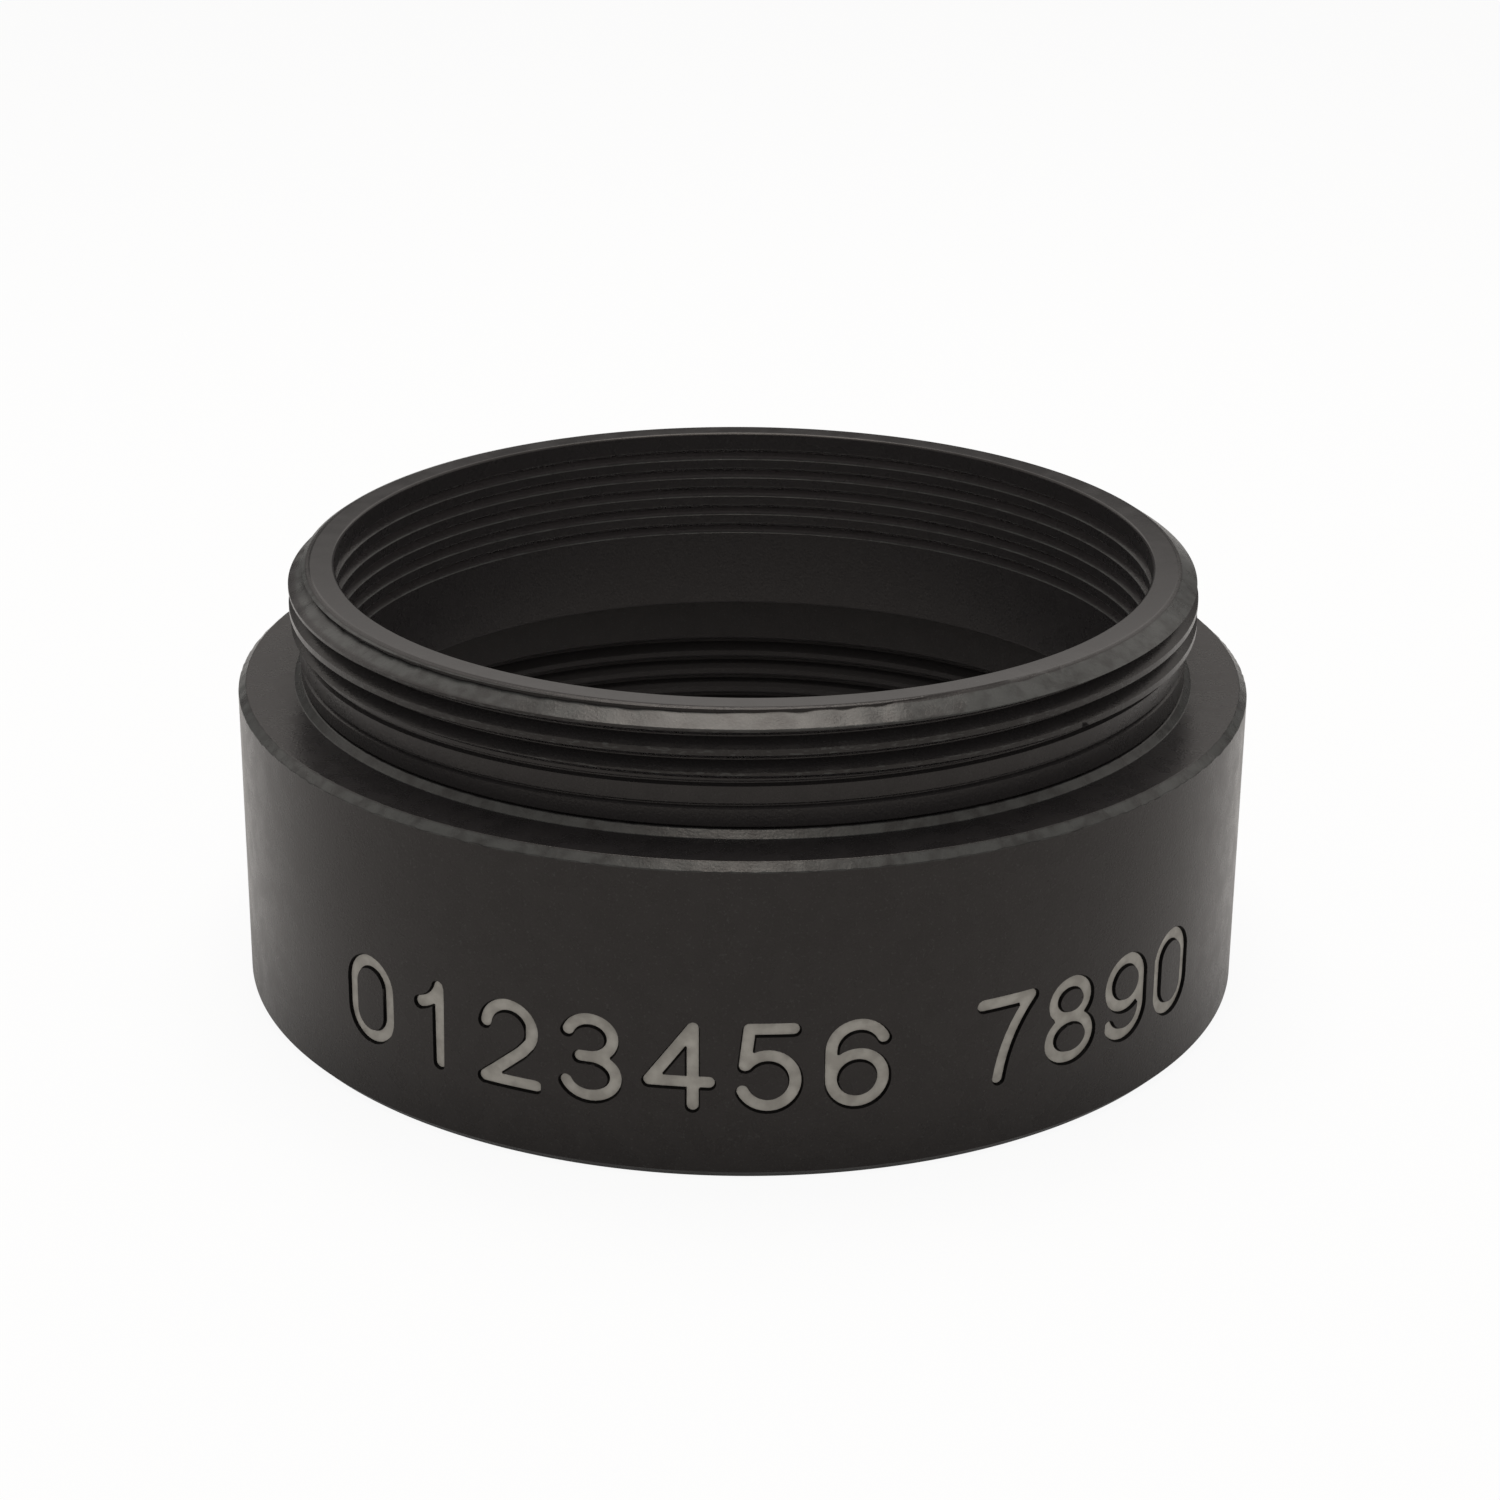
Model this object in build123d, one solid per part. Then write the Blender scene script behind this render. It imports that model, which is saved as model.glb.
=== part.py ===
"""Threaded lens tube: one turned aluminium ring that spaces two optical parts apart.

The tube stands on its bottom face. Its axis is +Z, its origin is the centre of the bottom face,
and sizes are millimetres. A spigot with a male thread rises from the body's seating shoulder, and
the socket that takes such a spigot opens in the bottom face. The bore between them is the light
path, with anti-glare grooves at the spigot's end. Both threads are drawn as V grooves, true in
pitch, depth and flank angle but without the helix and the run-outs.
"""

from build123d import *
import math
import os

# Body
body_length = 9.0  # bottom face to shoulder: the spacing that the tube adds
body_wall = 1.5  # from the thread's major diameter out to the body's
body_edge_chamfer = 0.25
shoulder_edge_chamfer = 0.22

# Thread of both ends, right-handed
thread_major_diameter = 26.0
thread_pitch = 0.635
thread_flank_angle = 60.0  # between the two flanks of a groove
male_allowance = 0.03  # radial, from the major diameter in to the male crests
male_crest_flat = 0.16
female_height_share = 0.5413  # radial height of the female thread, as a share of the pitch
female_groove_start = 0.47  # bottom face to the middle of the first groove
female_groove_count = 6

# Spigot, from the shoulder up
spigot_length = 3.415
spigot_wall = 1.35  # from the thread's major diameter in to the bore
foot_height = 0.24  # the foot flares like a chamfer, from the relief down to the shoulder
foot_step = 0.07  # radial, from the thread crests in to the foot's widest edge
relief_depth = 0.34  # radial, from the thread crests in to the relief's wall
relief_width = 1.5  # from the foot to the first thread crest, with the flank at its top
lead_chamfer_height = 0.38
lead_chamfer_width = 0.46

# Socket, from the bottom face up to the web that carries the spigot
web_thickness = 2.3
socket_mouth_chamfer = 0.35

# Anti-glare grooves in the spigot's bore
glare_groove_count = 5
glare_groove_pitch = 0.6125
glare_groove_depth = 0.29
glare_groove_start = 0.715  # from the spigot's end to the middle of the first groove

# Worked out from the sizes above
total_length = body_length + spigot_length
socket_depth = body_length - web_thickness
body_radius = thread_major_diameter / 2 + body_wall
bore_radius = thread_major_diameter / 2 - spigot_wall
flank_slope = math.tan(math.radians(thread_flank_angle / 2))  # along the axis for each mm of depth
male_crest_radius = thread_major_diameter / 2 - male_allowance
end_face_radius = male_crest_radius - lead_chamfer_width
male_groove_depth = (thread_pitch - male_crest_flat) / 2 / flank_slope
relief_radius = male_crest_radius - relief_depth
female_groove_depth = female_height_share * thread_pitch
female_crest_radius = thread_major_diameter / 2 - female_groove_depth
foot_radius = male_crest_radius - foot_step
foot_top = body_length + foot_height
relief_top = foot_top + relief_width
lead_chamfer_bottom = total_length - lead_chamfer_height


def turned(points):
    """Solid of revolution about Z of a closed outline, given as (radius, height) points."""
    outline = Plane.XZ * make_face(Polyline(*points, close=True))
    return revolve(outline, Axis.Z, 360)


def outside():
    """The tube without its hollow: body, shoulder, foot, relief, thread land and lead chamfer."""
    return turned([
        (0, 0),
        (body_radius - body_edge_chamfer, 0),
        (body_radius, body_edge_chamfer),
        (body_radius, body_length - shoulder_edge_chamfer),
        (body_radius - shoulder_edge_chamfer, body_length),
        (foot_radius, body_length),
        (relief_radius, foot_top),
        (relief_radius, relief_top - relief_depth * flank_slope),
        (male_crest_radius, relief_top),
        (male_crest_radius, lead_chamfer_bottom),
        (end_face_radius, total_length),
        (0, total_length),
    ])


def hollow():
    """The way through: the socket with its mouth chamfer, its ceiling, and the bore."""
    over = 1.0  # past both end faces
    return turned([
        (0, -over),
        (female_crest_radius + socket_mouth_chamfer, -over),
        (female_crest_radius + socket_mouth_chamfer, 0),
        (female_crest_radius, socket_mouth_chamfer),
        (female_crest_radius, socket_depth),
        (bore_radius, socket_depth),
        (bore_radius, total_length + over),
        (0, total_length + over),
    ])


def v_groove(mouth_radius, depth, height, side):
    """Cutter for a ring-shaped V groove at this height. Side is 1 to cut outward into a bore's wall
    and -1 to cut inward into a shaft."""
    clear = 0.1  # how far the cutter's mouth stands off the wall
    half_mouth = (depth + clear) * flank_slope
    mouth = mouth_radius - side * clear
    return turned([
        (mouth, height - half_mouth),
        (mouth_radius + side * depth, height),
        (mouth, height + half_mouth),
    ])


def male_thread_grooves():
    """Grooves between the lead chamfer and the relief, each a pitch below the last."""
    first = lead_chamfer_bottom - thread_pitch / 2
    count = math.ceil((first - relief_top) / thread_pitch)
    return [
        v_groove(male_crest_radius, male_groove_depth, first - i * thread_pitch, -1)
        for i in range(count)
    ]


def female_thread_grooves():
    """Grooves in the socket's wall, from its mouth up. The first one meets the mouth's chamfer."""
    return [
        v_groove(female_crest_radius, female_groove_depth, female_groove_start + i * thread_pitch, 1)
        for i in range(female_groove_count)
    ]


def glare_grooves():
    """Ring grooves that stop light from glancing off the bore."""
    first = total_length - glare_groove_start
    return [
        v_groove(bore_radius, glare_groove_depth, first - i * glare_groove_pitch, 1)
        for i in range(glare_groove_count)
    ]


def tube():
    """The whole tube, as one solid."""
    grooves = male_thread_grooves() + female_thread_grooves() + glare_grooves()
    return outside() - hollow() - grooves


os.makedirs("parts", exist_ok=True)
export_step(tube(), "parts/tube_body.step")
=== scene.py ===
"""Looks of the threaded lens tube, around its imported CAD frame.

One fine mesh stands for the turned ring: the same section as the solid, with the helix of both
threads, their run-outs, broken edges and small nicks. A row of plain digits is engraved into the
body and filled with paint. Sizes are millimetres until a mesh is finished, then metres. The front
is -Y, where the digits are and where the camera stands.
"""
import math

import bmesh
import bpy
import numpy as np
from mathutils import Matrix, Vector
from mathutils.geometry import delaunay_2d_cdt


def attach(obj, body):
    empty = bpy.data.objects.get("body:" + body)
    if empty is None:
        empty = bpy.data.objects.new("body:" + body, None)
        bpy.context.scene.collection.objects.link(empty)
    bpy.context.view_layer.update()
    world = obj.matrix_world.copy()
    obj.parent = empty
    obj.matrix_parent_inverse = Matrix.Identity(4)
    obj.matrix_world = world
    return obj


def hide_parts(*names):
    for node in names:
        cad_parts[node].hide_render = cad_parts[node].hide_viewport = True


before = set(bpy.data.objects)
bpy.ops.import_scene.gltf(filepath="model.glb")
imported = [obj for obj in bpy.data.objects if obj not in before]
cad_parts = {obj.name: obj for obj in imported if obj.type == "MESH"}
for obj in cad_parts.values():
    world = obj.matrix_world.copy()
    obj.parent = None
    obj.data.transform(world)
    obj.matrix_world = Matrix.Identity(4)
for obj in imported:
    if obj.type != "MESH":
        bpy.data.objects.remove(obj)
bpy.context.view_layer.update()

MM = 0.001
FRONT = -90.0  # degrees round the axis
SEGMENTS = 432
SEED = 26
WAVES_ADDED, WAVES_DIVIDED = 24, 8  # how the nicks along an edge are summed up

# Body
BODY_RADIUS = 14.5
BODY_LENGTH = 9.0
BODY_EDGE = 0.25
SHOULDER_EDGE = 0.22
EDGE_BREAK = 0.02  # how far a turned edge is rounded off on each side
SHARP_EDGE = 38.0  # degrees: the shading breaks at edges sharper than this
NORMAL_WEIGHT = 80  # how far a broad face rules the shading of the small ones beside it
WELD = 3e-3  # points closer than this become one

# Spigot
TOTAL_LENGTH = 12.415
END_FACE_RADIUS = 12.34  # where the flat of the end face stops and its edge rounds away
LEAD_TOP_RADIUS = 12.46
LEAD_TOP = 12.38
LEAD_BOTTOM = 12.035  # lower edge of the lead chamfer

# Threads: the flanks of a groove lie 30 degrees off its middle plane
PITCH = 0.635
FLANK = math.tan(math.radians(30))
MALE_CREST = 12.97
MALE_CREST_FLAT = 0.17
MALE_ROOT_FLAT = 0.03
MALE_TOP_GROOVE = 12.355  # middle of the highest groove, at the front
MALE_GROOVES = 5
RUN_IN_ROOT = 12.45  # the highest groove is deeper, where the tool came in at the end face
RUN_IN_FLAT = 0.04  # and it drops this far before its lower flank starts
RUN_TURNS = 0.2  # turns from the seam in which the run-in and the run-out happen
FEMALE_CREST = 12.656
FEMALE_ROOT = 13.0
FEMALE_CREST_FLAT = 0.16
FEMALE_TOP_GROOVE = 4.915  # middle of the highest groove, at the back
FEMALE_RUN_OUT = 5.3  # height at which the socket's thread has faded away
FEMALE_FADE = 0.3  # height over which it fades
FEMALE_LEAST = 0.02  # share of its width that a faded groove keeps

# Relief between the male thread and the foot, still scored by the thread tool
RELIEF_RADIUS = 12.7
RELIEF_TOP = 10.76
RELIEF_FLANK = (MALE_CREST - RELIEF_RADIUS) * FLANK
FOOT_TOP = 9.19
FOOT_CREVICE = 0.08
FOOT_RADII = (12.72, 12.9)  # at its top and on the shoulder

# Hollow
SOCKET_DEPTH = 6.7
SOCKET_MOUTH = 0.35
BORE_RADIUS = 11.65
BORE_EDGE = 0.06
GLARE_COUNT = 5
GLARE_PITCH = 0.6125
GLARE_DEPTH = 0.29
GLARE_FIRST = 11.7

# Engraved digits: plain running numbers in two groups on the front of the body
DIGIT_GROUPS = {"0123456": (-10.87, 2.33), "7890": (7.33, 2.14)}  # first middle, step, along the arc
DIGIT_MIDDLE = 3.26  # height
DIGIT_HALF_WIDTH = 0.78
DIGIT_HALF_HEIGHT = 1.1
STROKE = 0.2  # half the width of a stroke
STROKE_WALL = 0.045  # the walls lean in by this much
ENGRAVED = 0.09
BAND_LOW, BAND_HIGH = 1.6, 4.9
BAND_LEFT, BAND_RIGHT = -12.6, 15.4
PAINTED, WALL = 1, 2  # materials of the engraving's floor and of its walls, which carry painted shade, after the tube's own

theta = np.linspace(FRONT - 180, FRONT + 180, SEGMENTS + 1)  # the seam is at the back
turn = (theta - FRONT) / 360  # turns from the front
random = np.random.default_rng(SEED)


# ---------------------------------------------------------------- section of the tube

def ring(r, z, cuts=2):
    """A row of the mesh: radius and height all round. Its edge is rounded with 0, 1 or 2 cuts."""
    row = np.stack([np.broadcast_to(r, theta.shape), np.broadcast_to(z, theta.shape)], -1)
    return row, cuts


def nicks(size, bumps=(70, 210)):
    """Small irregular waves all round an edge, from 0 to about this size. Bumps is the range from
    which each wave's number of bumps is drawn."""
    waves = np.zeros_like(theta)
    for _ in range(WAVES_ADDED):
        count = random.integers(*bumps)
        waves += np.cos(2 * math.pi * (count * turn + random.random()))
    return size * np.clip(waves / WAVES_DIVIDED + 0.35, 0, 1.3)


lead_chips = nicks(0.03, (30, 95))


def male_envelope(z):
    """Radius of the spigot before its thread is cut, at these heights."""
    edge_slope = (LEAD_TOP_RADIUS - END_FACE_RADIUS) / (TOTAL_LENGTH - LEAD_TOP)
    lead_slope = (MALE_CREST - LEAD_TOP_RADIUS) / (LEAD_TOP - LEAD_BOTTOM)
    edge = END_FACE_RADIUS + (TOTAL_LENGTH - z) * edge_slope
    lead = LEAD_TOP_RADIUS + (LEAD_TOP - z) * lead_slope
    relief = RELIEF_RADIUS + np.maximum(z - RELIEF_TOP + RELIEF_FLANK, 0) / FLANK
    return np.minimum(np.minimum(edge, lead), np.minimum(relief, MALE_CREST))


def male_groove(k):
    """Middle, root radius and the root's flat below its middle, of a groove all round."""
    middle = MALE_TOP_GROOVE - k * PITCH + PITCH * turn
    half_mouth = (PITCH - MALE_CREST_FLAT) / 2
    root = MALE_CREST - (half_mouth - MALE_ROOT_FLAT / 2) / FLANK
    past_seam = np.clip((turn + 0.5) / RUN_TURNS, 0, 1)
    run_in = past_seam * (k == 0)
    run_out = (1 - past_seam) * (k == MALE_GROOVES - 1)
    root = root + (RUN_IN_ROOT - root) * run_in + (RELIEF_RADIUS - root) * run_out
    flat = MALE_ROOT_FLAT / 2 + (RUN_IN_FLAT + lead_chips - MALE_ROOT_FLAT / 2) * run_in
    return middle, root, flat


def mouth(middle, root, flat, side):
    """Height at which a groove's flank leaves the spigot's envelope, found by halving."""
    near = middle
    far = middle + side * PITCH / 2
    for _ in range(30):
        half = (near + far) / 2
        reach = root + np.maximum(np.abs(half - middle) - flat, 0) / FLANK
        cut = reach < male_envelope(half)
        near = np.where(cut, half, near)
        far = np.where(cut, far, half)
    return np.clip(near, FOOT_TOP, TOTAL_LENGTH)


def male_rows():
    """Rows from the end face's edge down through the relief, the thread on its helix. The lower
    mouths of the grooves have no broken edge, so that each meets the next one at the seam."""
    rows = [ring(END_FACE_RADIUS, TOTAL_LENGTH)]
    corners = [LEAD_TOP, LEAD_BOTTOM, RELIEF_TOP, RELIEF_TOP - RELIEF_FLANK]
    above = np.full_like(theta, TOTAL_LENGTH)
    for k in range(MALE_GROOVES):
        middle, root, flat = male_groove(k)
        top = mouth(middle, root, MALE_ROOT_FLAT / 2, 1)
        bottom = mouth(middle, root, flat, -1)
        for corner in corners:
            z = np.clip(corner, top, above)
            rows.append(ring(male_envelope(z), z))
        rows.append(ring(male_envelope(top), top))
        for z in (middle + MALE_ROOT_FLAT / 2, middle - flat):
            z = np.clip(z, bottom, top)
            rows.append(ring(np.minimum(root, male_envelope(z)), z, 0))
        rows.append(ring(male_envelope(bottom), bottom, 0))
        above = bottom
    return rows


def foot_and_body_rows():
    """Rows from the relief down over the foot, the shoulder and the body to the bottom face."""
    chips = nicks(0.035)
    worn = nicks(0.012)
    return [
        ring(RELIEF_RADIUS, FOOT_TOP + 0.06, 1),
        ring(RELIEF_RADIUS - FOOT_CREVICE, FOOT_TOP + 0.02, 0),
        ring(FOOT_RADII[0], FOOT_TOP - worn, 1),
        ring(FOOT_RADII[1], BODY_LENGTH, 1),
        ring(BODY_RADIUS - SHOULDER_EDGE - worn, BODY_LENGTH),
        ring(BODY_RADIUS, BODY_LENGTH - SHOULDER_EDGE + 0.02 - chips),
        ring(BODY_RADIUS, BODY_EDGE),
        ring(BODY_RADIUS - BODY_EDGE, 0),
    ]


def female_rows():
    """Rows from the socket's ceiling down to its mouth, the thread on its helix."""
    half_mouth = (PITCH - FEMALE_CREST_FLAT) / 2
    full_depth = FEMALE_ROOT - FEMALE_CREST
    half_root = half_mouth - full_depth * FLANK
    rows = [ring(FEMALE_CREST, SOCKET_DEPTH, 1)]
    highest = FEMALE_TOP_GROOVE + PITCH / 2 + PITCH  # its run-out fades it away on the way up
    lowest = SOCKET_MOUTH * 0.35  # within the mouth's flare
    for k in range(math.ceil(highest / PITCH) + 1):
        middle = highest - k * PITCH + PITCH * turn
        share = np.clip((FEMALE_RUN_OUT - middle) / FEMALE_FADE, FEMALE_LEAST, 1)
        deep = np.where(share > FEMALE_LEAST, share, 0) * full_depth
        for offset, at_root, cuts in ((half_mouth, 0, 1), (half_root, 1, 0),
                                      (-half_root, 1, 0), (-half_mouth, 0, 1)):
            z = np.clip(middle + offset * share, lowest, SOCKET_DEPTH)
            flare = np.maximum(SOCKET_MOUTH - z, 0)
            rows.append(ring(FEMALE_CREST + np.maximum(at_root * deep, flare), z, cuts))
    rows.append(ring(FEMALE_CREST + SOCKET_MOUTH, 0, 1))
    return rows


def bore_rows():
    """Rows from the spigot's mouth down the bore, through the anti-glare grooves."""
    rows = [ring(BORE_RADIUS + BORE_EDGE, TOTAL_LENGTH, 1),
            ring(BORE_RADIUS, TOTAL_LENGTH - BORE_EDGE, 1)]
    half = GLARE_DEPTH * FLANK
    for k in range(GLARE_COUNT):
        z = GLARE_FIRST - k * GLARE_PITCH
        rows += [ring(BORE_RADIUS, z + half, 1), ring(BORE_RADIUS + GLARE_DEPTH, z, 0),
                 ring(BORE_RADIUS, z - half, 1)]
    rows += [ring(BORE_RADIUS, SOCKET_DEPTH + BORE_EDGE, 1),
             ring(BORE_RADIUS + BORE_EDGE, SOCKET_DEPTH, 1)]
    return rows


def section():
    """All rows of the closed section: down the outside, up the socket and up the bore."""
    return male_rows() + foot_and_body_rows() + female_rows()[::-1] + bore_rows()[::-1]


def rounded(section_rows):
    """Rows with every edge broken: an edge of one or two cuts gives way to two or three rows."""
    rows = np.array([row for row, _ in section_rows])
    before = np.roll(rows, 1, 0) - rows
    after = np.roll(rows, -1, 0) - rows
    out = []
    for (row, cuts), to_last, to_next in zip(section_rows, before, after):
        if cuts == 0:
            out.append(row)
            continue
        len_last = np.linalg.norm(to_last, axis=-1, keepdims=True)
        len_next = np.linalg.norm(to_next, axis=-1, keepdims=True)
        step = np.minimum(EDGE_BREAK, 0.35 * np.minimum(len_last, len_next))
        a = row + to_last / np.maximum(len_last, 1e-9) * step
        b = row + to_next / np.maximum(len_next, 1e-9) * step
        out += [a, b] if cuts == 1 else [a, (a + 2 * row + b) / 4, b]
    return np.array(out)


# ---------------------------------------------------------------- engraved digits

def arc(x, y, rx, ry, start, end):
    """Points on an arc of an ellipse, between two angles in degrees."""
    steps = max(3, round(abs(end - start) / 9))
    angles = np.radians(np.linspace(start, end, steps + 1))
    return [(x + rx * math.cos(a), y + ry * math.sin(a)) for a in angles]


def bend(start, pull, end):
    """Points on a curve from start to end, drawn towards pull."""
    t = np.linspace(0, 1, 9)[:, None]
    points = (1 - t) ** 2 * np.array(start) + 2 * t * (1 - t) * np.array(pull) + t ** 2 * np.array(end)
    return [tuple(p) for p in points]


def digit_strokes(digit):
    """Centre lines of a digit's strokes about its middle. A stroke has no sharp corner in it."""
    w, h = DIGIT_HALF_WIDTH, DIGIT_HALF_HEIGHT
    side = h - 0.72  # height at which the tall bows go straight
    six = [
        arc(0.03, side, 0.73, 0.72, 25, 180) + [(-0.7, -0.42)],
        arc(0, 0.68 - h, 0.7, 0.68, 0, 180),
        arc(0, 0.68 - h, 0.7, 0.68, 180, 360),
    ]
    strokes = {
        "0": [arc(0, side, 0.71, 0.72, 0, 180) + arc(0, -side, 0.71, 0.72, 180, 270),
              arc(0, -side, 0.71, 0.72, 270, 360) + [(0.71, side)]],
        "1": [[(0.16, -h), (0.16, h)], bend((0.16, h), (0.02, 0.66), (-0.46, 0.52))],
        "2": [arc(0, side + 0.04, 0.69, 0.68, 172, -32) + bend((0.5, -0.08), (0, -0.5), (-0.74, -h))[1:],
              [(-0.74, -h), (w, -h)]],
        "3": [arc(-0.04, 0.56, 0.62, 0.54, 160, -90), arc(-0.04, -0.54, 0.7, 0.56, 90, -160),
              [(-0.3, 0.02), (-0.04, 0.02)]],
        "4": [[(0.36, -h), (0.36, h)], [(0.36, h), (-w, -0.44)], [(-w, -0.44), (w, -0.44)]],
        "5": [[(-0.5, h), (0.64, h)], [(-0.5, h), (-0.62, 0.06)],
              arc(-0.02, -0.38, 0.72, 0.72, 142, -156)],
        "6": six,
        "7": [[(-0.74, h), (w, h)], bend((w, h), (-0.04, 0.16), (-0.22, -h))],
        "8": [arc(0, 0.58, 0.6, 0.52, 0, 180), arc(0, 0.58, 0.6, 0.52, 180, 360),
              arc(0, -0.52, 0.71, 0.58, 0, 180), arc(0, -0.52, 0.71, 0.58, 180, 360)],
        "9": [[(-x, -y) for x, y in stroke] for stroke in six],
    }
    return strokes[digit]


def all_strokes():
    """Centre lines of the whole row, along the arc and up."""
    placed = []
    for digits, (first, step) in DIGIT_GROUPS.items():
        for i, digit in enumerate(digits):
            offset = np.array([first + i * step, DIGIT_MIDDLE])
            placed += [np.array(stroke) + offset for stroke in digit_strokes(digit)]
    return placed


def stroke_outline(line, reach):
    """Closed outline at this distance all round a centre line, with round ends."""
    along = np.gradient(line, axis=0)
    along /= np.linalg.norm(along, axis=1, keepdims=True)
    out = np.stack([-along[:, 1], along[:, 0]], -1) * reach
    half_turn = np.linspace(math.pi / 2, -math.pi / 2, 9)[1:-1]
    points = []
    for side, direction in ((line + out, along[-1]), ((line - out)[::-1], -along[0])):
        points += list(side)
        middle = line[-1] if len(points) == len(line) else line[0]
        facing = math.atan2(direction[1], direction[0])
        points += [middle + reach * np.array([math.cos(facing + a), math.sin(facing + a)])
                   for a in half_turn]
    return points


def depth_at(points, strokes):
    """How far the engraving goes in at each point, from the distance to the nearest centre line."""
    starts = np.concatenate([line[:-1] for line in strokes])
    ends = np.concatenate([line[1:] for line in strokes])
    along = ends - starts
    away = points[:, None] - starts
    t = np.clip((away * along).sum(-1) / (along ** 2).sum(-1), 0, 1)
    distance = np.linalg.norm(away - t[..., None] * along, axis=-1).min(1)
    return ENGRAVED * np.clip((STROKE - distance) / STROKE_WALL, 0, 1)


def engraved_patch(columns):
    """The engraved stretch of wall as triangles: points (arc, height), their depths, and faces."""
    arcs = turn[columns] * 2 * math.pi * BODY_RADIUS
    points = [Vector((a, z)) for z in (BAND_LOW, BAND_HIGH) for a in arcs]
    count = len(arcs)
    edges = [(i, i + count) for i in range(count)]
    edges += [(i, i + 1) for i in range(count - 1)]
    edges += [(i + count, i + 1 + count) for i in range(count - 1)]
    strokes = all_strokes()
    for line in strokes:
        for reach in (STROKE, STROKE - STROKE_WALL):
            outline = stroke_outline(line, reach)
            first = len(points)
            points += [Vector(p) for p in outline]
            edges += [(first + i, first + (i + 1) % len(outline)) for i in range(len(outline))]
    result = delaunay_2d_cdt(points, edges, [], 0, 1e-5)
    flat = np.array([tuple(p) for p in result[0]])
    return flat, depth_at(flat, strokes), result[2]


# ---------------------------------------------------------------- mesh

def on_tube(r, angle, z):
    return np.stack([r * np.cos(angle), r * np.sin(angle), z], -1)


def add_engraving(bm, columns):
    flat, depth, faces = engraved_patch(columns)
    angle = flat[:, 0] / BODY_RADIUS + math.radians(FRONT)
    verts = [bm.verts.new(p) for p in on_tube(BODY_RADIUS - depth, angle, flat[:, 1])]
    for face in faces:
        made = bm.faces.new([verts[i] for i in face])
        at_corners = depth[list(face)]
        if min(at_corners) > 0.999 * ENGRAVED:
            made.material_index = PAINTED
        elif max(at_corners) > 0.5 * ENGRAVED:
            # the walls get the painted shade
            made.material_index = WALL


def tube_mesh():
    rows = rounded(section())
    on_wall = (rows[:, 0, 0] == BODY_RADIUS) & (rows[:, 0, 1] < BAND_HIGH)
    band = np.flatnonzero(on_wall)[0]
    plain, _ = ring(BODY_RADIUS, 0)
    walls = [plain + (0, BAND_HIGH), plain + (0, BAND_LOW)]
    rows = np.insert(rows, band, walls, 0)
    points = on_tube(rows[..., 0], np.radians(theta), rows[..., 1])
    arcs = turn * 2 * math.pi * BODY_RADIUS
    engraved = np.flatnonzero((arcs > BAND_LEFT) & (arcs < BAND_RIGHT))
    count, columns = points.shape[:2]
    bm = bmesh.new()
    verts = [[bm.verts.new(p) for p in row] for row in points]
    for j in range(count):
        low, high = verts[j], verts[(j + 1) % count]
        for i in range(columns - 1):
            if j == band and engraved[0] <= i < engraved[-1]:
                continue
            bm.faces.new((low[i], high[i], high[i + 1], low[i + 1]))
    add_engraving(bm, engraved)
    bmesh.ops.remove_doubles(bm, verts=bm.verts, dist=WELD)
    bmesh.ops.dissolve_degenerate(bm, edges=bm.edges, dist=1e-5)
    bmesh.ops.recalc_face_normals(bm, faces=bm.faces)
    mesh = bpy.data.meshes.new("lens_tube")
    bm.to_mesh(mesh)
    bm.free()
    return mesh


def add_tube():
    mesh = tube_mesh()
    mesh.set_sharp_from_angle(angle=math.radians(SHARP_EDGE))
    mesh.materials.append(black_anodised())
    mesh.materials.append(digit_paint())
    mesh.materials.append(engraving_wall())
    tube = bpy.data.objects.new("lens_tube", mesh)
    bpy.context.scene.collection.objects.link(tube)
    weigh_normals(tube)
    tube.data.transform(Matrix.Scale(MM, 4))
    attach(tube, "root")
    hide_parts("tube_body")


def weigh_normals(piece):
    """Keep broad faces flat up to the broken edges beside them. The modifier takes face areas under
    1e-4 as nothing, so it is evaluated while the mesh is in millimetres."""
    weighted = piece.modifiers.new("normals", "WEIGHTED_NORMAL")
    weighted.keep_sharp = True
    weighted.weight = NORMAL_WEIGHT
    plain = piece.data
    evaluated = piece.evaluated_get(bpy.context.evaluated_depsgraph_get())
    piece.data = bpy.data.meshes.new_from_object(evaluated)
    piece.modifiers.clear()
    bpy.data.meshes.remove(plain)
    piece.data.name = "lens_tube"


# ---------------------------------------------------------------- materials

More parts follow.
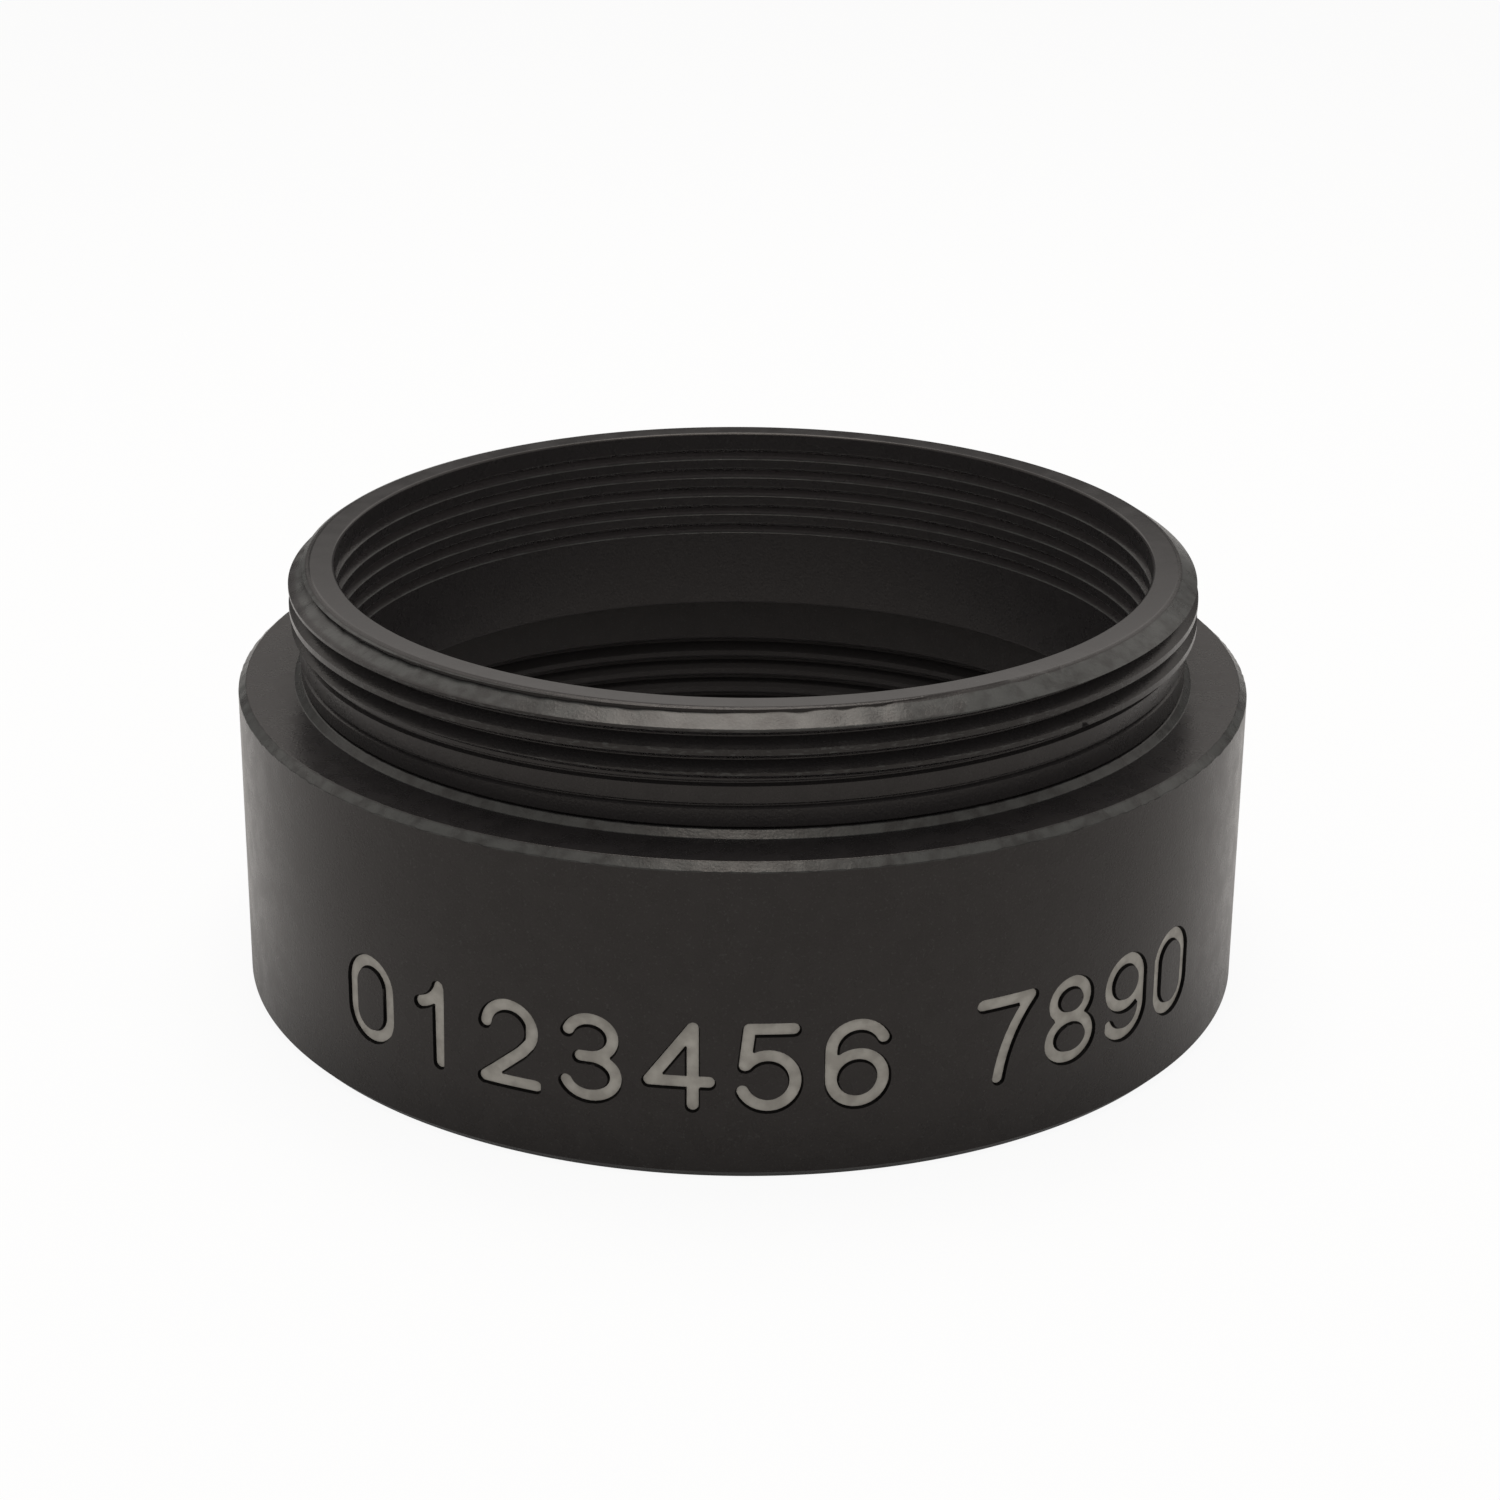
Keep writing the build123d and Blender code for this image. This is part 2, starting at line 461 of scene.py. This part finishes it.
class Graph:
    """Short ways to add shader nodes to a material or a world. An input is a number or a socket."""

    def __init__(self, owner):
        owner.use_nodes = True
        self.tree = owner.node_tree

    def add(self, kind, inputs=(), **settings):
        made = self.tree.nodes.new(kind)
        for key, value in settings.items():
            setattr(made, key, value)
        for key, value in dict(inputs).items():
            self.feed(made.inputs[key], value)
        return made

    def feed(self, socket, value):
        if isinstance(value, bpy.types.NodeSocket):
            self.tree.links.new(value, socket)
        else:
            socket.default_value = value

    def math(self, operation, a, b=0.0):
        return self.add("ShaderNodeMath", {0: a, 1: b}, operation=operation).outputs[0]

    def product(self, first, *others):
        for other in others:
            first = self.math("MULTIPLY", first, other)
        return first

    def largest(self, first, *others):
        for other in others:
            first = self.math("MAXIMUM", first, other)
        return first

    def ramp(self, value, low, high, out_low=0.0, out_high=1.0):
        """A smooth step from one level to another as the value goes from low to high."""
        return self.add(
            "ShaderNodeMapRange",
            {"Value": value, "From Min": low, "From Max": high, "To Min": out_low, "To Max": out_high},
            interpolation_type="SMOOTHSTEP",
        ).outputs[0]

    def noise(self, place, scale, detail=2.0):
        return self.add(
            "ShaderNodeTexNoise", {"Vector": place, "Scale": scale, "Detail": detail}
        ).outputs[0]

    def blend(self, share, a, b):
        """A colour between two others."""
        mix = self.add("ShaderNodeMix", data_type="RGBA")
        self.feed(mix.inputs[0], share)
        self.feed(mix.inputs[6], a)
        self.feed(mix.inputs[7], b)
        return mix.outputs[2]


def place_in_mm(graph):
    """Place on the object in millimetres, and as arc along the turning, radius and height."""
    where = graph.add("ShaderNodeTexCoord").outputs["Object"]
    place = graph.add(
        "ShaderNodeVectorMath", {0: where, "Scale": 1 / MM}, operation="SCALE"
    ).outputs[0]
    x, y, z = graph.add("ShaderNodeSeparateXYZ", {0: place}).outputs
    radius = graph.math("SQRT", graph.math("ADD", graph.math("MULTIPLY", x, x),
                                           graph.math("MULTIPLY", y, y)))
    angle = graph.math("ARCTAN2", x, graph.math("MULTIPLY", y, -1.0))
    arc = graph.math("MULTIPLY", angle, MALE_CREST)
    return place, arc, radius, z


# Parts of the surface, as limits in radius and in height. Each limit is the low end, the high end and
# how far the part fades out on either side of them. None leaves an end open.
PARTS = {
    "crests": ((12.95, 13.05, 0.01), (10.72, None, 0.02)),
    "lead": ((12.48, None, 0.02), (12.0, None, 0.03)),
    "foot": ((12.7, 12.92, 0.01), (8.98, 9.2, 0.01)),
    "rim": ((14.29, None, 0.03), (8.77, None, 0.03)),
    "thread_grooves": ((12.5, 12.86, 0.05), (9.26, 12.0, 0.03)),
    "bore": ((None, 12.0, 0.02), (None, 12.35, 0.02)),
    "socket": ((None, 13.15, 0.05), (None, 6.775, 0.025)),
    "glare_flanks": ((11.71, 11.98, 0.02), (8.95, 12.15, 0.05)),
    "glare_lips": ((11.657, 11.7, 0.006), (8.95, 12.15, 0.05)),
    "end_face": ((None, 12.38, 0.02), (12.385, None, 0.015)),
}


def parts_of_surface(graph, radius, height):
    """How far a point belongs to each of the PARTS, from 0 to 1."""
    shares = {}
    for name, limits in PARTS.items():
        share = 1.0
        for value, (low, high, fade) in zip((radius, height), limits):
            if low is not None:
                share = graph.product(share, graph.ramp(value, low - fade, low + fade))
            if high is not None:
                share = graph.product(share, graph.ramp(value, high - fade, high + fade, 1.0, 0.0))
        shares[name] = share
    return shares


DARK = (0.0146, 0.0136, 0.0142, 1)
LESS_DARK = (0.0178, 0.0166, 0.0172, 1)
HOLLOW_PAINTED_LIGHT = (0.0255, 0.0240, 0.0248, 1)  # painted light: paler in the thread grooves, bore and socket to lift their shade
# The flanks of the anti-glare grooves are coloured paler than the bore. It offsets how dark grooves
# of this depth look, where the real ones show little contrast.
FLANK_AT_LIP = (0.042, 0.039, 0.040, 1)
FLANK_AT_ROOT = (0.115, 0.106, 0.108, 1)
# paler rubbed edges, which also stand in for their highlights, and painted highlights on the anti-glare
# lips
RUBBED_AND_HIGHLIGHT = (0.056, 0.059, 0.058, 1)
SHEEN = 0.27
SHEEN_TINT = (1.0, 0.94, 0.88, 1)
FINISH = (0.25, 0.31)  # roughness, from one cloud of the finish to the next
SOCKET_DULLER = 0.35  # added to it in the socket
END_FACE_SMOOTHER = 0.19  # taken off it on the end face
GRAIN_HEIGHT = 6e-6  # metres
END_FACE_GRAIN = 0.08  # share of the grain that the end face keeps
DASH_STRETCH = 4.0  # worn dashes along the turning are this much longer than wide


def worn_and_highlight_share(graph, place, turned, part):
    """Where the finish is paler: rubbed edges that are partly painted highlight, worn dashes along the
    crests, specks, and painted highlights along the anti-glare lips.
    """
    patches = graph.ramp(graph.noise(place, 2.2, 3.0), 0.3, 0.62, 0.35, 1.0)
    dashes = graph.ramp(graph.noise(turned, 3.6), 0.55, 0.66)
    lip_highlights = graph.ramp(graph.noise(turned, 1.6), 0.35, 0.65, 0.35, 1.0)
    return graph.largest(
        # rubbed edges, partly a painted highlight
        graph.product(graph.largest(part["lead"], part["foot"], part["rim"]), patches),
        graph.product(part["crests"], dashes, 0.6),
        # painted highlights in dashes along the lips of the anti-glare grooves
        graph.product(part["glare_lips"], lip_highlights),
        graph.ramp(graph.noise(place, 15.0, 1.0), 0.62, 0.74, 0.0, 0.3),
    )


def finish_colour(graph, mottle, radius, part):
    """Colour of the unworn finish, with painted light that lifts the shade in the grooves, the bore and
    the socket.
    """
    # painted light lifting the shade in the grooves, the bore and the socket
    hollow_light = graph.largest(part["thread_grooves"], part["bore"], part["socket"])
    flank = graph.blend(
        graph.ramp(radius, BORE_RADIUS + 0.03, BORE_RADIUS + GLARE_DEPTH), FLANK_AT_LIP, FLANK_AT_ROOT
    )
    colour = graph.blend(graph.ramp(mottle, 0.35, 0.65), DARK, LESS_DARK)
    colour = graph.blend(hollow_light, colour, HOLLOW_PAINTED_LIGHT)
    return graph.blend(part["glare_flanks"], colour, flank)


def black_anodised():
    """Satin black anodised aluminium: a fine grain, paler rubbed edges that are partly painted
    highlight, and painted light in its hollows.
    """
    material = bpy.data.materials.new("black_anodised")
    graph = Graph(material)
    shader = graph.tree.nodes["Principled BSDF"]
    place, arc, radius, height = place_in_mm(graph)
    turned = graph.add("ShaderNodeCombineXYZ", {
        0: arc,
        1: graph.product(radius, DASH_STRETCH),
        2: graph.product(height, DASH_STRETCH),
    }).outputs[0]
    part = parts_of_surface(graph, radius, height)
    mottle = graph.noise(place, 1.4, 3.0)

    colour = finish_colour(graph, mottle, radius, part)
    # rubbed and worn paler, with painted highlights on the edges and the anti-glare lips
    worn = worn_and_highlight_share(graph, place, turned, part)
    graph.feed(shader.inputs["Base Color"], graph.blend(worn, colour, RUBBED_AND_HIGHLIGHT))
    roughness = graph.math("ADD", graph.ramp(mottle, 0.3, 0.7, *FINISH),
                           graph.product(part["socket"], SOCKET_DULLER))
    roughness = graph.math("SUBTRACT", roughness, graph.product(part["end_face"], END_FACE_SMOOTHER))
    graph.feed(shader.inputs["Roughness"], roughness)
    shader.inputs["IOR"].default_value = 1.5
    shader.inputs["Specular IOR Level"].default_value = SHEEN
    shader.inputs["Specular Tint"].default_value = SHEEN_TINT
    bump = graph.add("ShaderNodeBump", {
        "Height": graph.noise(place, 13.0, 3.0),
        "Strength": graph.ramp(part["end_face"], 0.0, 1.0, 1.0, END_FACE_GRAIN),
        "Distance": GRAIN_HEIGHT,
    })
    graph.feed(shader.inputs["Normal"], bump.outputs[0])
    return material


PAINT = (0.295, 0.285, 0.258, 1), (0.41, 0.40, 0.367, 1)  # its darker and its paler clouds
# near black painted shade on the engraving's walls
ENGRAVING_SHADE = (0.0018, 0.0016, 0.0016, 1), (0.0042, 0.0039, 0.0039, 1)


def digit_paint():
    """Pale warm paint in the engraved digits, a little uneven."""
    material = bpy.data.materials.new("digit_paint")
    graph = Graph(material)
    shader = graph.tree.nodes["Principled BSDF"]
    place, _, _, _ = place_in_mm(graph)
    cloud = graph.ramp(graph.noise(place, 2.5, 3.0), 0.3, 0.7)
    graph.feed(shader.inputs["Base Color"], graph.blend(cloud, *PAINT))
    shader.inputs["Roughness"].default_value = 0.6
    bump = graph.add("ShaderNodeBump", {"Height": graph.noise(place, 14.0), "Distance": 5e-6})
    graph.feed(shader.inputs["Normal"], bump.outputs[0])
    return material


def engraving_wall():
    """Painted shade on the engraving's walls: a dull near black that outlines the digits."""
    material = bpy.data.materials.new("engraving_wall")
    graph = Graph(material)
    shader = graph.tree.nodes["Principled BSDF"]
    place, _, _, _ = place_in_mm(graph)
    cloud = graph.noise(place, 9.0)
    graph.feed(shader.inputs["Base Color"], graph.blend(cloud, *ENGRAVING_SHADE))
    shader.inputs["Roughness"].default_value = 0.5
    shader.inputs["Specular IOR Level"].default_value = 0.05
    return material


# ---------------------------------------------------------------- floor, light and camera

AMBIENT = 0.42  # soft light from all round
BACKDROP = 1.0  # white behind the tube and overhead, as reflections see it
ROOM = 0.3  # the dim room on the camera's side
ROOM_ENDS = 0.4  # the one turns into the other from this far forward to this far back
BACKDROP_RISE = 0.28, 0.38  # sines of the elevations between which the backdrop comes up
BACKDROP_LOW = 0.13  # its share below them
OVERHEAD = 0.6, 0.9  # sines of the elevations between which the white overhead comes up
FLOOR_WHITE = 0.9
FLOOR_OWN_LIGHT = 0.93  # share of its white that is its own light, to the camera
FLOOR_OWN_GLOSS = 0.1  # and in reflections
WARM = (1.0, 0.955, 0.915, 1)
LAMPS = {  # place, size across and deep, power
    "soft_box": ((0, 0.037, 0.155), (0.08, 0.084), 0.122),
    "rim_light": ((0, -0.055, 0.15), (0.05, 0.03), 0.038),
}


def seen_as_backdrop(graph):
    """Two shares, 0 or 1: of the camera's own rays, and of reflected and refracted ones."""
    path = graph.add("ShaderNodeLightPath").outputs
    either = graph.largest(path["Is Glossy Ray"], path["Is Transmission Ray"])
    return path["Is Camera Ray"], either


def add_floor():
    """White floor. Part of its white is its own light, and the rest keeps the tube's shadow."""
    bpy.ops.mesh.primitive_plane_add(size=2.0)
    floor = bpy.context.object
    floor.name = "floor"
    material = bpy.data.materials.new("floor_white")
    graph = Graph(material)
    lit = graph.tree.nodes["Principled BSDF"]
    lit.inputs["Base Color"].default_value = (FLOOR_WHITE, FLOOR_WHITE, FLOOR_WHITE, 1)
    lit.inputs["Roughness"].default_value = 1.0
    lit.inputs["Specular IOR Level"].default_value = 0.0
    camera_ray, bounced = seen_as_backdrop(graph)
    share = graph.largest(graph.product(camera_ray, FLOOR_OWN_LIGHT),
                          graph.product(bounced, FLOOR_OWN_GLOSS))
    white = graph.add("ShaderNodeEmission", {"Strength": 1.0}).outputs[0]
    mix = graph.add("ShaderNodeMixShader", {0: share, 1: lit.outputs[0], 2: white})
    graph.feed(graph.tree.nodes["Material Output"].inputs[0], mix.outputs[0])
    floor.data.materials.append(material)


def add_world():
    """Even soft light. The camera sees white. Reflections see white behind the tube and overhead,
    and a dim room on the camera's side."""
    world = bpy.data.worlds.new("studio")
    bpy.context.scene.world = world
    graph = Graph(world)
    where = graph.add("ShaderNodeTexCoord").outputs["Generated"]
    _, y, z = graph.add("ShaderNodeSeparateXYZ", {0: where}).outputs
    wall = graph.product(graph.ramp(y, -ROOM_ENDS, ROOM_ENDS, ROOM, BACKDROP),
                         graph.ramp(z, *BACKDROP_RISE, BACKDROP_LOW, 1.0))
    seen = graph.largest(wall, graph.ramp(z, *OVERHEAD, 0.0, BACKDROP))
    camera_ray, bounced = seen_as_backdrop(graph)
    level = graph.ramp(bounced, 0.0, 1.0, AMBIENT, seen)
    background = graph.tree.nodes["Background"]
    graph.feed(background.inputs["Color"], graph.blend(camera_ray, WARM, (1, 1, 1, 1)))
    graph.feed(background.inputs["Strength"], graph.largest(level, camera_ray))
    bpy.context.scene.view_settings.view_transform = "Standard"


def add_lamps():
    """Soft box over the tube, and a small light for its rims."""
    for name, (place, (across, deep), power) in LAMPS.items():
        data = bpy.data.lights.new(name, "AREA")
        data.shape = "RECTANGLE"
        data.size = across
        data.size_y = deep
        data.energy = power
        data.color = WARM[:3]
        lamp = bpy.data.objects.new(name, data)
        lamp.location = place
        lamp.rotation_euler = Vector(place).to_track_quat("Z", "Y").to_euler()
        lamp.visible_camera = False
        bpy.context.scene.collection.objects.link(lamp)


CAMERA_ELEVATION = 21.978
CAMERA_ROLL = 0.475
CAMERA_DISTANCE = 99.94
CAMERA_AIM = Vector((0.225, 0, 6.254))
CAMERA_LENS = 81.85


def add_camera():
    elevation = math.radians(CAMERA_ELEVATION)
    back = Vector((0, -math.cos(elevation), math.sin(elevation)))
    right = Vector((1, 0, 0))
    up = back.cross(right)
    roll = Matrix.Rotation(math.radians(CAMERA_ROLL), 3, back)
    data = bpy.data.cameras.new("camera")
    data.lens = CAMERA_LENS
    data.sensor_width = 36
    data.clip_start = 0.001
    camera = bpy.data.objects.new("camera", data)
    axes = Matrix((roll @ right, roll @ up, back)).transposed().to_4x4()
    camera.matrix_world = Matrix.Translation((CAMERA_AIM + back * CAMERA_DISTANCE) * MM) @ axes
    bpy.context.scene.collection.objects.link(camera)
    bpy.context.scene.camera = camera


add_tube()
add_floor()
add_world()
add_lamps()
add_camera()
